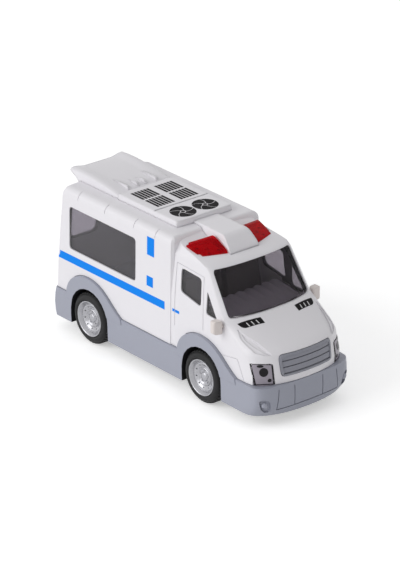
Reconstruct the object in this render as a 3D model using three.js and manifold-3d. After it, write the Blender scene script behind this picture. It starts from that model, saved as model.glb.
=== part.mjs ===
// Toy police van: millimetres, +X forward, +Y the van's left, +Z up, floor at Z 0.
import * as THREE from "three";
import { mergeVertices } from "three/addons/utils/BufferGeometryUtils.js";
import Module from "manifold-3d";

const wasm = await Module();
wasm.setup();

// General sizes.
const WALL = 1.6;
const FIT = 0.3;
const PRESS = 0.1;
const BOW = 2.2;
const SQUARE = 5;
const FACET = 0.08;

// Wheels.
const WHEELBASE = 123;
const REAR_AXLE_X = -72.5;
const FRONT_AXLE_X = REAR_AXLE_X + WHEELBASE;
const TYRE_R = 19.2;
const TYRE_W = 14.2;
const WHEEL_FACE = 42;
const RIM_R = 13.2;
const AXLE_R = 1.5;
const TREAD_BLOCKS = 14;
const TREAD_DEPTH = 0.5;
const RIM_HOLES = 10;

// Skirt, bumper and arches.
const SKIRT_LOW = 9.2;
const SKIRT_TOP = 31;
const SKIRT_HALF = 41.8;
const SKIRT_WALL = 1.8;
const MIRROR_OUT = 47.9;
const BUMPER_X = 114.2;
const TAIL_X = -114.2;
const TAIL_ROUND = 2.4;
const NOSE_TUCK = 19;
const NOSE_FULL = 14;
const ARCH_R = 20.8;
const ARCH_UP = 1.4;
const WELL_WALL = 1.6;
const WELL_IN = 26.5;
const FLARE_OUT = SKIRT_HALF + 0.15;
const FLARE_IN = 38.2;
const FLARE_RISE = 30.7;

// Box body.
const BOX_HALF = 40.3;
const BOX_DRAFT = 1.2;
const BOX_REAR = TAIL_X + 1.3;
const BOX_LEAN = 7.2;
const BOX_FRONT = 16.7;
const ROOF_Z = 110;
const SHOULDER = 6;
const SIDE_WINDOW = { x0: -96.5, x1: -22.5, z0: 65, z1: 97 };
const REAR_WINDOW = { y0: 6, y1: 29, z0: 67, z1: 96 };
const PANEL_LINES = [-87, -57, -25, -2];

// Roof pod, deflector and spoiler.
const POD_RISE = 4.4;
const POD_TOP = ROOF_Z + POD_RISE;
const POD_HALF = 24.5;
const POD_REAR = -60;
const POD_FRONT = 5;
const POD_STEP_X = -20.5;
const DEFLECTOR_X = 47;
const DEFLECTOR_HALF = 12.6;
const DEFLECTOR_TOP = POD_TOP - 2.2;
const FIN_HALF = POD_HALF - 0.1;
const SPOILER_REAR = BOX_REAR - 1.3;
const RIB_H = 1.6;

// Lamps on the roof.
const BEACON_IN = 13.2;
const BEACON_OUT = 30.4;
const BEACON_REAR = 26.4;
const BEACON_LEDGE = 1.6;
const BEACON_FRONT = 45.4;
const BEACON_SWEEP = 0.24;
const BEACON_DROP = 0.11;
const LED_R = 1.5;

// Friction drive: teeth and modules.
const AXLE_TEETH = 20;
const IDLER_PINION_TEETH = 10;
const IDLER_WHEEL_TEETH = 26;
const FLY_TEETH = 8;
const COARSE = 0.6;
const FINE = 0.5;
const SHAFT_R = 0.8;
const DISC_R = 7;
const MESH_TILT_1 = (35 * Math.PI) / 180;
const MESH_TILT_2 = (5 * Math.PI) / 180;

// Underside.
const PLATE_T = 1.6;
const CELL_R = 5.8;
const CELL_L = 5.4;
const SWITCH_X = 22;
const SWITCH_TRAVEL = 4;
const SPEAKER_X = -24;
const SCREW_X = [TAIL_X + 16.2, BUMPER_X - 26.2];
const BOARD_Z = TYRE_R + AXLE_R + 1.3;
const BOARD_T = 1.6;
const SCREW_Y = 16;

// Outer form of the cab: stations up its centre line, from the sill to the fairing in front of the box.
const station = (z, x, half, nose) => ({ z, x, half, nose });
const CAB = [
  station(26, 113.1, 39.6, 17),
  station(37, 113.6, 39.6, 18.5),
  station(51.5, 111.6, 39.6, 22),
  station(54.5, 107.4, 39.5, 21),
  station(69, 78.8, 39.3, 12),
  station(99.2, 56.2, 36.5, 6.5),
  station(102, 42, 34.6, 6),
  station(104.4, 23.5, 33, 4),
  station(108.6, 14.5, 31, 3),
];

// Turns a three.js geometry into a solid for cutting and joining.
function solid(geometry) {
  const loose = geometry.index ? geometry.toNonIndexed() : geometry;
  const bare = new THREE.BufferGeometry().setAttribute("position", loose.getAttribute("position"));
  const merged = mergeVertices(bare, 1e-4);
  const index = merged.index.array;
  const kept = [];
  for (let i = 0; i < index.length; i += 3) {
    const [a, b, c] = [index[i], index[i + 1], index[i + 2]];
    if (a !== b && b !== c && c !== a) kept.push(a, b, c);
  }
  const make = (list) =>
    new wasm.Manifold(
      new wasm.Mesh({
        numProp: 3,
        vertProperties: merged.attributes.position.array,
        triVerts: new Uint32Array(list),
      }),
    );
  const made = make(kept);
  return made.volume() < 0 ? make(kept.reverse()) : made;
}

const join = (...list) => list.reduce((a, b) => a.add(b));
const cut = (from, ...list) => list.reduce((a, b) => a.subtract(b), from);
const mirrored = (made) => made.mirror([0, 1, 0]);
const paired = (made) => made.add(mirrored(made));

function block(x0, x1, y0, y1, z0, z1) {
  const g = new THREE.BoxGeometry(x1 - x0, y1 - y0, z1 - z0);
  return solid(g.translate((x0 + x1) / 2, (y0 + y1) / 2, (z0 + z1) / 2));
}

// Round bars along Y and along Z.
function rod(r, y0, y1, x, z, sides = 24) {
  const g = new THREE.CylinderGeometry(r, r, y1 - y0, sides);
  return solid(g.translate(x, (y0 + y1) / 2, z));
}

function peg(r, z0, z1, x, y, sides = 16) {
  const g = new THREE.CylinderGeometry(r, r, z1 - z0, sides).rotateX(Math.PI / 2);
  return solid(g.translate(x, y, (z0 + z1) / 2));
}

function turned(profile, sides = 40) {
  return solid(new THREE.LatheGeometry(profile.map(([r, y]) => new THREE.Vector2(r, y)), sides));
}

// A closed outline whose corners are rounded by the same radius.
function outline(points, radius = 0) {
  const at = points.map(([x, y]) => new THREE.Vector2(x, y));
  const shape = new THREE.Shape();
  at.forEach((p, i) => {
    const before = at[(i + at.length - 1) % at.length];
    const after = at[(i + 1) % at.length];
    const near = (q) => p.clone().lerp(q, Math.min(radius / p.distanceTo(q), 0.49));
    const [from, to] = radius ? [near(before), near(after)] : [p, p];
    if (i) shape.lineTo(from.x, from.y);
    else shape.moveTo(from.x, from.y);
    if (radius) shape.quadraticCurveTo(p.x, p.y, to.x, to.y);
  });
  shape.closePath();
  return shape;
}

// Prisms: an outline in XZ swept along Y, in YZ along X, in XY along Z.
const BASES = {
  y: [new THREE.Vector3(1, 0, 0), new THREE.Vector3(0, 0, 1), new THREE.Vector3(0, -1, 0)],
  x: [new THREE.Vector3(0, 1, 0), new THREE.Vector3(0, 0, 1), new THREE.Vector3(1, 0, 0)],
  z: [new THREE.Vector3(1, 0, 0), new THREE.Vector3(0, 1, 0), new THREE.Vector3(0, 0, 1)],
};
function prism(axis, shape, from, to, curveSegments = 4) {
  const g = new THREE.ExtrudeGeometry(shape, { depth: to - from, bevelEnabled: false, curveSegments });
  g.applyMatrix4(new THREE.Matrix4().makeBasis(...BASES[axis]));
  if (axis === "y") g.translate(0, to, 0);
  if (axis === "x") g.translate(from, 0, 0);
  if (axis === "z") g.translate(0, 0, from);
  return solid(g);
}

// A level outline: a bowed front and a squarer rear between straight flanks.
function ring(z, { front, rear, half, nose, tail, power = BOW, steps = 14, back = 6 }) {
  const out = [];
  const power2 = (v, n) => Math.sign(v) * Math.abs(v) ** (2 / n);
  for (let i = 0; i <= steps; i++) {
    const a = Math.PI * (i / steps - 0.5);
    out.push([front - nose * (1 - power2(Math.cos(a), power)), half * power2(Math.sin(a), power), z]);
  }
  for (let i = 0; i <= back; i++) {
    const a = Math.PI * (0.5 - i / back);
    out.push([rear + tail * (1 - power2(Math.cos(a), SQUARE)), half * power2(Math.sin(a), SQUARE), z]);
  }
  return out;
}

// Skins a stack of level outlines and closes both ends.
function loft(rings) {
  const n = rings[0].length;
  const index = [];
  for (let k = 0; k + 1 < rings.length; k++)
    for (let i = 0; i < n; i++) {
      const [a, b] = [k * n + i, k * n + ((i + 1) % n)];
      index.push(a, b, a + n, b, b + n, a + n);
    }
  const top = (rings.length - 1) * n;
  for (let i = 1; i + 1 < n; i++) index.push(0, i + 1, i, top, top + i, top + i + 1);
  const g = new THREE.BufferGeometry();
  g.setAttribute("position", new THREE.Float32BufferAttribute(rings.flat(2), 3));
  return solid(g.setIndex(index));
}

function between(keys, z, field) {
  const i = Math.min(Math.max(keys.findIndex((k) => k.z > z) - 1, 0), keys.length - 2);
  const past = z >= keys[keys.length - 1].z;
  const [a, b] = past ? keys.slice(-2) : [keys[i], keys[i + 1]];
  return a[field] + ((b[field] - a[field]) * (z - a.z)) / (b.z - a.z);
}
const softened = (keys, z, field, h = 1.1) =>
  (between(keys, z - h, field) + 2 * between(keys, z, field) + between(keys, z + h, field)) / 4;

// The cab, inset by t everywhere.
function cabForm(t) {
  const fine = t < WALL;
  const heights = CAB.flatMap((k, i) => {
    const next = CAB[i + 1];
    if (!next) return [k.z];
    const parts = fine && next.z - k.z > 9 ? [0, 0.1, 0.5, 0.92] : [0, 0.5];
    return parts.map((f) => k.z + f * (next.z - k.z));
  });
  const rings = heights.map((z) =>
    ring(z - 0.8 * t, {
      front: softened(CAB, z, "x") - 0.8 * t,
      rear: 0,
      half: softened(CAB, z, "half") - t,
      nose: softened(CAB, z, "nose"),
      tail: 0,
      steps: fine ? 14 : 8,
      back: 2,
    }),
  );
  return loft(rings);
}

// The box, inset by t everywhere: it leans forward at the rear and has a rounded shoulder.
function boxForm(t) {
  const shoulderZ = ROOF_Z - SHOULDER;
  const rise = (z) => Math.max(0, z - shoulderZ);
  const round = (z) => SHOULDER - Math.sqrt(Math.max(0, SHOULDER ** 2 - rise(z) ** 2));
  const draft = (z) => (BOX_DRAFT * Math.max(0, z - SKIRT_TOP)) / (ROOF_Z - SKIRT_TOP);
  const lean = (z) => BOX_LEAN * (Math.max(0, z - SKIRT_TOP) / (ROOF_Z - SKIRT_TOP)) ** 1.35;
  const heights = [26, 52, 78, shoulderZ];
  const bends = t < WALL ? 5 : 3;
  for (let i = 1; i <= bends; i++) heights.push(shoulderZ + SHOULDER * Math.sin((Math.PI * i) / bends / 2));
  const rings = heights.map((z) =>
    ring(z - t, {
      front: BOX_FRONT - t - 0.6 * round(z),
      rear: BOX_REAR + t + lean(z) + 0.6 * round(z),
      half: BOX_HALF - t - draft(z) - round(z),
      nose: 1.2,
      tail: TAIL_ROUND,
      power: 14,
      steps: 4,
    }),
  );
  return loft(rings);
}

// The skirt and bumper, inset by t: the bumper has full corners that tuck in at the foot.
function skirtForm(t, z0, z1) {
  const full = (z) => 1 - Math.min(1, Math.max(0, (19 - z) / 10)) ** 2;
  const mid = (z) => 1 - ((z - 20) / 11) ** 2;
  const heights = [0, 0.2, 0.5, 0.8, 1].map((k) => z0 + (z1 - z0) * k);
  const steps = t < SKIRT_WALL ? 18 : 8;
  return loft(
    heights.map((z) =>
      ring(z, {
        front: BUMPER_X - t - 0.7 * (1 - mid(z)),
        rear: TAIL_X + t + 1.4 * (1 - mid(z)),
        half: SKIRT_HALF - t - 0.4 * (1 - mid(z)),
        nose: NOSE_TUCK - (NOSE_TUCK - NOSE_FULL) * full(z),
        tail: TAIL_ROUND,
        power: BOW + full(z),
        steps,
      }),
    ),
  );
}

const bodies = new Map();
function bodyForm(t) {
  if (!bodies.has(t)) bodies.set(t, cabForm(t).add(boxForm(t)));
  return bodies.get(t);
}
const skin = (outer, inner) => bodyForm(outer).subtract(bodyForm(inner));

// Outlines of openings; grow widens each edge.
const doorWindow = (grow) =>
  outline([[24.6 - grow, 91 + grow], [46 + grow, 90 + grow], [47.2 + grow, 70 - grow], [25.4 - grow, 74 - grow]], 3);
const quarterWindow = (grow) =>
  outline([[52.6 - grow, 83.6 + 1.6 * grow], [64.6 + 1.3 * grow, 66.4 - grow], [53 - grow, 66.9 - grow]], 2);
const screenShape = (grow) =>
  outline([[-35.6 - grow, 69 - grow], [35.6 + grow, 69 - grow], [33.9 + grow, 97.8 + grow], [-33.9 - grow, 97.8 + grow]], 2.4);
const sideShape = (grow) => {
  const w = SIDE_WINDOW;
  return outline(
    [[w.x0 - grow, w.z0 - grow], [w.x1 + grow, w.z0 - grow], [w.x1 + grow, w.z1 + grow], [w.x0 - grow, w.z1 + grow]],
    3,
  );
};
const rearShape = (grow) => {
  const w = REAR_WINDOW;
  return outline(
    [[-w.y1 - grow, w.z0 - grow], [-w.y0 + grow, w.z0 - grow], [-w.y0 + grow, w.z1 + grow], [-w.y1 - grow, w.z1 + grow]],
    4,
  );
};
const grilleShape = (grow) =>
  outline([[-22.3 - grow, 36 - grow], [22.3 + grow, 36 - grow], [23 + grow, 51.6 + grow], [-23 - grow, 51.6 + grow]], 3.5);
const lampShape = (grow) =>
  outline([[-38.4 - grow, 30 - grow], [-27 + grow, 30 - grow], [-27 + grow, 46.4 + grow], [-38 - grow, 46.4 + grow]], 2);

// The arch flare seen from the side, about the wheel centre: steep behind, drawn out in front.
function flareShape(grow) {
  const s = new THREE.Shape();
  s.moveTo(-27 - grow, 8);
  s.lineTo(-26 - grow, 12.2 + grow);
  s.bezierCurveTo(-24.5 - grow, 24 + grow, -14, FLARE_RISE + grow, -2, FLARE_RISE + grow);
  s.bezierCurveTo(16 + grow, FLARE_RISE + grow, 23 + grow, 18 + grow, 35 + grow, 12.1 + grow);
  s.lineTo(36 + grow, 8);
  s.closePath();
  return s;
}
const AXLES_X = [REAR_AXLE_X, FRONT_AXLE_X];
const flare = (grow, y0, y1) =>
  join(...AXLES_X.map((x) => prism("y", flareShape(grow), -y1, -y0, 8).translate([x, 0, TYRE_R])));
const well = (r, y0, y1) =>
  join(
    ...AXLES_X.flatMap((x) => [
      rod(r, -y1, -y0, x, TYRE_R + ARCH_UP, 24),
      block(x - r, x + r, -y1, -y0, SKIRT_LOW - 3, TYRE_R + ARCH_UP),
    ]),
  );

// Thin lines on the flank, and the hollows between bonnet and fenders seen from above.
const DOOR_LINE = [[19.8, 47], [19.8, 93.4], [48.4, 92], [49.8, 66], [49.8, 54]];
const FENDER_LINE = [[70, 43], [86, 45.5], [92.6, 32]];
const VALLEY_WIDE = [[80, -35], [87, -33], [94.5, -29.8], [106.5, -26.4], [103.5, -31], [98.5, -35.2], [92, -36.4], [86, -37]];
const VALLEY_DEEP = [[84, -34.4], [94.3, -30.4], [105.2, -27.2], [101.6, -30.4], [94.4, -33.4], [88, -35]];
const stroke = (points, width) =>
  join(
    ...points.slice(1).map(([x1, z1], i) => {
      const [x0, z0] = points[i];
      const k = width / 2 / Math.hypot(x1 - x0, z1 - z0);
      const [nx, nz] = [(z0 - z1) * k, (x1 - x0) * k];
      const edge = [[x0 + nx, z0 + nz], [x1 + nx, z1 + nz], [x1 - nx, z1 - nz], [x0 - nx, z0 - nz]];
      return prism("y", outline(edge), -44, -30);
    }),
  );

// The white body: one shell, its openings, lamp and grille pockets, arch cut-outs and seams.
function bodyShell() {
  const openings = [
    paired(prism("y", doorWindow(0), -42, -32)),
    paired(prism("y", quarterWindow(0), -42, -34)),
    prism("x", screenShape(0), 44, 84),
    paired(prism("y", sideShape(0), -BOX_HALF - 2, -BOX_HALF + 4.3)),
    paired(prism("x", rearShape(0), BOX_REAR - 3, BOX_REAR + 17)),
    prism("x", grilleShape(0), 96, 118),
    paired(prism("x", lampShape(0), 88, 118)),
    paired(flare(FIT, WELL_IN, FLARE_OUT + 2)),
    paired(peg(LED_R + FIT, 94, 112, 33, -22)),
    paired(rod(1.5 + FIT, -42, -35, 69.5, 64, 12)),
    block(-130, 130, -60, 60, 0, SKIRT_TOP + FIT),
  ];
  const seams = [
    ...PANEL_LINES.map((x) => paired(block(x - 0.2, x + 0.2, -BOX_HALF, -BOX_HALF + 6, ROOF_Z - 5.8, ROOF_Z + 1))),
    paired(stroke(DOOR_LINE, 0.4)),
    paired(stroke(FENDER_LINE, 0.4)),
    block(BOX_REAR - 3, BOX_REAR + 13, -0.3, 0.3, SKIRT_TOP, 101),
  ];
  const valleys = [
    paired(prism("z", outline(VALLEY_WIDE, 1.5), 44, 75)).intersect(skin(-2, 0.45)),
    paired(prism("z", outline(VALLEY_DEEP, 1), 44, 75)).intersect(skin(-2, 0.85)),
  ];
  return cut(skin(0, WALL), ...openings, join(...seams).intersect(skin(-2, 0.35)), ...valleys);
}

// Smoked panes: a plug in the opening and a flange behind the wall.
function pane(axis, shape, from, to) {
  const plug = prism(axis, shape(-FIT), from, to).intersect(skin(0.6, WALL + FIT + 1));
  const flange = prism(axis, shape(1.4), from, to).intersect(skin(WALL + FIT, WALL + FIT + 1));
  return plug.add(flange);
}
function cabGlazing() {
  const panes = [
    pane("x", screenShape, 44, 84),
    paired(pane("y", doorWindow, -42, -31)),
    paired(pane("y", quarterWindow, -42, -31)),
  ];
  const bridge = [[44, 92.4], [66, 68.5], [66, 66.6], [44, 66.6]];
  const pillars = prism("y", outline(bridge), -42, -28).intersect(skin(WALL + FIT, WALL + FIT + 1));
  const ahead = paired(block(46, 80, -38, -32, 67, 95)).intersect(skin(WALL + FIT, WALL + FIT + 1));
  const rodHole = paired(rod(1.5 + FIT, -42, -30, 69.5, 64, 12));
  return cut(join(...panes, paired(pillars), ahead), rodHole);
}

// The grey foot: skirt, deck, bosses, arches, wells and the relief of the bumper.
function lowerBody() {
  const hollow = skirtForm(SKIRT_WALL, SKIRT_LOW - 2, SKIRT_TOP - SKIRT_WALL);
  const wellOut = well(ARCH_R + WELL_WALL, WELL_IN - WELL_WALL, 40);
  const wellIn = well(ARCH_R, WELL_IN, 46);
  const below = block(-130, 130, -60, 60, -40, SKIRT_LOW);
  const bosses = SCREW_X.flatMap((x) =>
    [-SCREW_Y, SCREW_Y].map((y) => peg(3.2, SKIRT_LOW + PLATE_T + FIT, SKIRT_TOP - 1, x, y, 8)),
  );
  const screwHoles = SCREW_X.flatMap((x) => [-SCREW_Y, SCREW_Y].map((y) => peg(1.2, 0, 25, x, y, 6)));
  const slots = AXLES_X.map((x) =>
    join(rod(3, -30, 30, x, TYRE_R, 12), block(x - 3, x + 3, -30, 30, 0, TYRE_R)).intersect(
      paired(block(-130, 130, -WELL_IN - 1, -WELL_IN + WELL_WALL + 1, -60, 60)),
    ),
  );
  const face = skirtForm(-2, SKIRT_LOW - 1, SKIRT_TOP + 1).subtract(skirtForm(0.7, SKIRT_LOW - 1, SKIRT_TOP + 1));
  const grooves = [
    paired(block(90, 120, -12.8, -12.2, 14, 28.4)),
    paired(prism("x", outline([[-27.5, 14], [-26.9, 14], [-25.3, 28.4], [-25.9, 28.4]]), 90, 120)),
    block(86, 120, -27.5, 27.5, 13.5, 14.1),
  ].map((g) => g.intersect(face));
  const fog = [[-39.6, 22.4], [-38, 15.4], [-34.8, 12.4], [-31.6, 13.6], [-32.2, 20.6], [-35.8, 22.8]];
  const fogCut = paired(prism("x", outline(fog, 2.4), 90, 120)).intersect(
    skirtForm(-2, SKIRT_LOW - 1, SKIRT_TOP + 1).subtract(skirtForm(1.1, SKIRT_LOW - 1, SKIRT_TOP + 1)),
  );
  const dome = new THREE.SphereGeometry(2.6, 8, 5).translate(BUMPER_X - 5.4, -35.2, 18.6);
  const shell = skirtForm(0, SKIRT_LOW, SKIRT_TOP).subtract(hollow);
  const arches = paired(join(flare(0, FLARE_IN, FLARE_OUT), wellOut));
  const whole = cut(join(shell, arches, ...bosses), paired(wellIn), below, ...screwHoles, ...slots);
  const relieved = cut(whole, ...grooves, fogCut);
  const motorHole = block(-86, -44, -12.5, 12.5, SKIRT_TOP - 3, SKIRT_TOP + 1);
  return cut(relieved.add(paired(solid(dome))), motorHole);
}

// The black plate under it all, with axle saddles, a battery tray and openings.
function chassisPlate() {
  const top = SKIRT_LOW + PLATE_T;
  const clear = AXLES_X.map((x) => paired(block(x - ARCH_R - 2.1, x + ARCH_R + 2.1, -60, -WELL_IN + 2.1, 0, 30)));
  const plate = skirtForm(SKIRT_WALL + FIT, SKIRT_LOW, top);
  const saddle = (x) => paired(block(x - 3.4, x + 3.4, -22, -19, SKIRT_LOW, TYRE_R + 3.6));
  const bores = AXLES_X.map((x) => rod(AXLE_R + FIT, -30, 30, x, TYRE_R, 10));
  const tray = cut(block(-13, 13, -9, 9, SKIRT_LOW, 19), block(-11.4, 11.4, -7.4, 7.4, 0, 20));
  const posts = paired(join(peg(2, SKIRT_LOW, BOARD_Z, 40, -10, 8), peg(2, SKIRT_LOW, BOARD_Z, 66, -10, 8)));
  const window = block(-11.4, 11.4, -7.4, 7.4, 0, top + 1);
  const slot = block(SWITCH_X - 2.2, SWITCH_X + SWITCH_TRAVEL + 2.2, -1.9, 1.9, 0, top + 1);
  const holes = SCREW_X.flatMap((x) =>
    [-SCREW_Y, SCREW_Y].flatMap((y) => [peg(1.3, 0, 30, x, y, 6), peg(2.8, 0, SKIRT_LOW + 0.8, x, y, 8)]),
  );
  const grid = [-1, 1].flatMap((i) => [-1, 1].map((j) => peg(1.3, 0, 30, SPEAKER_X + 3 * i, 3 * j, 5)));
  return cut(join(plate, ...AXLES_X.map(saddle), tray, posts), ...clear, ...bores, window, slot, ...holes, ...grid);
}

// Pod and deflector: they sit on the roof with a hair of play.
function roofPod() {
  const level = (z, inset) =>
    ring(z, { front: POD_FRONT - inset, rear: POD_REAR, half: POD_HALF - inset, nose: 3, tail: 0, power: SQUARE });
  const pod = loft([level(ROOF_Z - SHOULDER, -0.7), level(POD_TOP - 1, 0), level(POD_TOP - 0.3, 0.4), level(POD_TOP, 1.1)]);
  const top = DEFLECTOR_TOP;
  const spine = [[POD_FRONT - 9, 96], [POD_FRONT - 9, top - 1.6], [POD_FRONT + 7, top], [DEFLECTOR_X - 9, top - 0.4]];
  spine.push([DEFLECTOR_X - 0.4, 103], [DEFLECTOR_X + 1.6, 94]);
  const h = DEFLECTOR_HALF;
  const hump = [[-h, 90], [-h, 103], [-h + 2.4, top + 1.2], [h - 2.4, top + 1.2], [h, 103], [h, 90]];
  const ridge = prism("y", outline(spine, 3.4), -30, 30).intersect(prism("x", outline(hump, 3), -10, 60));
  const step = block(POD_STEP_X - 0.4, POD_STEP_X + 0.4, -40, 40, POD_TOP - 0.5, POD_TOP + 2);
  return cut(pod.add(ridge), step, bodyForm(-0.1));
}

// Spoiler: a dished wing lofted front to rear, with rounded ears, a cut-back tail and four ribs.
function rearSpoiler() {
  const front = POD_REAR - FIT;
  const keys = [[0, -1.8, 0], [0.12, -0.5, 0.2], [0.3, 0.5, 0.7], [0.5, 1, 1.3], [0.72, 1.2, 1.7], [0.9, 1.1, 1.8], [1, 0.8, 1.7]];
  const along = keys.map(([k, rise, ear]) => ({ z: k, rise: POD_TOP + rise, ear }));
  const xAt = (k) => front - k * (front - SPOILER_REAR);
  const shares = [1, 0.98, 0.93, 0.86, 0.76, 0.64, 0.5, 0.25];
  const spread = [...shares, 0, ...shares.map((s) => -s).reverse()];
  const smooth = (v) => v * v * (3 - 2 * v);
  const lift = (s, ear) => {
    const past = Math.max(0, (Math.abs(s) - 0.86) / 0.14);
    return ear * smooth(Math.min(1, Math.max(0, (Math.abs(s) - 0.45) / 0.41))) - 2 * (1 - Math.sqrt(1 - past * past));
  };
  const foot = ROOF_Z - SHOULDER;
  const wing = loft(
    along.map((k) => {
      const x = xAt(k.z);
      const top = spread.map((s) => [x, s * FIN_HALF, k.rise + lift(s, k.ear)]);
      return [[x, 0, foot], [x, FIN_HALF, foot], ...top, [x, -FIN_HALF, foot]];
    }),
  );
  const r = SPOILER_REAR;
  const flank = [[front, foot], [front, POD_TOP + 8], [r, POD_TOP + 8], [r, POD_TOP + 0.6], [r + 2.4, POD_TOP - 1]];
  const clip = prism("y", outline([...flank, [r + 6.6, POD_TOP - 3], [r + 10.2, ROOF_Z - 2], [r + 11, foot]]), -40, 40);
  const rib = (k0, k1, y) => {
    const top = POD_TOP + RIB_H;
    const crest = [[xAt(k0), POD_TOP - 1.4], [xAt(k0 + 0.03), top - 0.5], [xAt(k0 + 0.07), top]];
    crest.push([xAt(k1 - 0.05), between(along, k1 - 0.05, "rise") + 0.7], [xAt(k1), between(along, k1, "rise") - 0.2]);
    return prism("y", outline([...crest, [xAt(k1), ROOF_Z], [xAt(k0), ROOF_Z]]), y - 0.8, y + 0.8);
  };
  const ribs = [rib(0.03, 0.4, -12.6), rib(0.05, 0.28, -3.4)].map(paired);
  return cut(join(wing.intersect(clip), ...ribs), bodyForm(-0.1));
}

// A hollow red dome: a wedge in side view, swept and drooped outwards.
function beacon(inset) {
  const side = (drop) => {
    const line = [[BEACON_REAR + inset, inset ? 94 : 100], [BEACON_REAR + 1.4 + inset, 109.6 - inset - drop]];
    line.push([BEACON_REAR + 4.4, 109.4 - inset - drop], [BEACON_FRONT - 2 - inset, 103.8 - inset - 0.6 * drop]);
    return outline([...line, [BEACON_FRONT - inset, inset ? 94 : 99]], 1.2);
  };
  const dome = prism("y", side(0), -BEACON_OUT + inset, -BEACON_IN - inset);
  const ledge = prism("y", side(1.4), -BEACON_OUT - BEACON_LEDGE, -BEACON_OUT + 1);
  return (inset ? dome : dome.add(ledge)).warp((v) => {
    const out = -v[1] - BEACON_IN;
    v[0] -= BEACON_SWEEP * out;
    v[2] -= BEACON_DROP * out;
  });
}

function mirror() {
  const face = outline([[-MIRROR_OUT, 60], [-40.4, 59.6], [-40.4, 69], [-MIRROR_OUT + 0.3, 69.4]], 2.2);
  const plan = outline([[66.6, -MIRROR_OUT], [71, -MIRROR_OUT], [72.4, -40.4], [66.6, -40.4]], 2);
  const shell = prism("x", face, 60, 80).intersect(prism("z", plan, 50, 80));
  return shell.add(rod(1.5, -42, -36.4, 69.5, 64, 12));
}

function grille() {
  const plate = prism("x", grilleShape(-FIT), 96, 118);
  const body = plate.intersect(cabForm(-0.8).subtract(cabForm(2)));
  const front = cabForm(-3).subtract(cabForm(0.9));
  const field = prism("x", grilleShape(-FIT - 1.4), 90, 122).intersect(cabForm(-3).subtract(cabForm(-0.3)));
  const gaps = [37.9, 42.2, 46.5].map((z) => {
    const bow = 20.7;
    return prism("x", outline([[-bow, z], [bow, z], [bow, z + 0.7], [-bow, z + 0.7]]), 90, 122).intersect(front);
  });
  return cut(body, field, ...gaps);
}

function headlight() {
  const shape = prism("x", lampShape(-FIT), 88, 118);
  const above = block(80, 120, -50, 0, SKIRT_TOP + FIT, 60);
  return shape.intersect(cabForm(-0.2).subtract(cabForm(1.8))).intersect(above);
}

function cabInterior() {
  const line = [[80, 43], [80, 58], [71, 65], [61, 63.5], [58, 56], [57, 47], [46, 47], [45, 55], [28, 53]];
  line.push([23.5, 79], [18.5, 79], [16, 43]);
  const slab = prism("y", outline(line, 1.6), -32, 32, 2);
  const aisle = block(17, 46.5, -2.5, 2.5, 47, 90);
  const legs = [24, 76].flatMap((x) => [-14, 14].map((y) => peg(2.5, SKIRT_TOP + 0.05, 44, x, y, 8)));
  return cut(join(slab, ...legs), aisle);
}

// Rim: pressed-steel look, a dished disc with a ring of holes and a raised hub. Built at the right side.
function rim() {
  const f = WHEEL_FACE;
  const front = [[12.2, f], [11, f - 2.8], [7, f - 3.6], [4.8, f - 1.1], [0, f - 0.8]];
  const rear = [[0, f - 2.4], [AXLE_R + PRESS, f - 2.4], [AXLE_R + PRESS, f - 12], [12.6, f - 12]];
  const disc = turned([...rear, [12.6, f - 1], [RIM_R, f - 0.9], [RIM_R, f], ...front], 16);
  const holes = Array.from({ length: RIM_HOLES }, (_, i) => {
    const a = (2 * Math.PI * (i + 0.5)) / RIM_HOLES;
    return rod(1.1, f - 5, f, 9 * Math.cos(a), 9 * Math.sin(a), 4);
  });
  return mirrored(cut(disc, ...holes));
}

// Tyre: a turned section whose tread steps in and out round the wheel.
function tyre() {
  const f = WHEEL_FACE;
  const back = f - TYRE_W;
  const bead = 12.75;
  const line = [[bead, f - 1.4], [RIM_R + 0.25, f - 1], [14.6, f], [17.6, f - 0.6], [TYRE_R, f - 3.4]];
  line.push([TYRE_R, back + 2.6], [17.4, back + 0.4], [14, back + 0.4], [bead, back + 1.8]);
  const sides = 2 * TREAD_BLOCKS;
  const g = new THREE.LatheGeometry([...line, line[0]].map(([r, y]) => new THREE.Vector2(r, y)), sides);
  const at = g.getAttribute("position");
  for (let i = 0; i < at.count; i++) {
    const r = Math.hypot(at.getX(i), at.getZ(i));
    const low = Math.floor(i / (line.length + 1)) % 2 === 1 && r > TYRE_R - 0.5;
    const k = low ? (r - TREAD_DEPTH) / r : 1;
    at.setXYZ(i, k * at.getX(i), at.getY(i), k * at.getZ(i));
  }
  return mirrored(solid(g));
}

// A spur gear along Y; the tooth at the given angle points along the line of centres.
function gear(teeth, module, y0, y1, angle) {
  const r = (module * teeth) / 2;
  const half = Math.PI / (2 * teeth);
  const points = [];
  for (let i = 0; i < teeth; i++) {
    const a = angle + (2 * Math.PI * i) / teeth;
    const spot = (radius, k) => points.push([radius * Math.cos(a + k * half), radius * Math.sin(a + k * half)]);
    spot(r - 1.1 * module, -1.15);
    spot(r + 0.8 * module, -0.34);
    spot(r + 0.8 * module, 0.34);
    spot(r - 1.1 * module, 1.15);
  }
  return prism("y", outline(points), y0, y1);
}

const step1 = (COARSE * (AXLE_TEETH + IDLER_PINION_TEETH)) / 2;
const step2 = (FINE * (IDLER_WHEEL_TEETH + FLY_TEETH)) / 2;
const IDLER = { x: REAR_AXLE_X + step1 * Math.cos(MESH_TILT_1), z: TYRE_R + step1 * Math.sin(MESH_TILT_1) };
const FLY = { x: IDLER.x + step2 * Math.cos(MESH_TILT_2), z: IDLER.z + step2 * Math.sin(MESH_TILT_2) };
const gapAngle = (tilt, teeth) => tilt + Math.PI + Math.PI / teeth;

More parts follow.
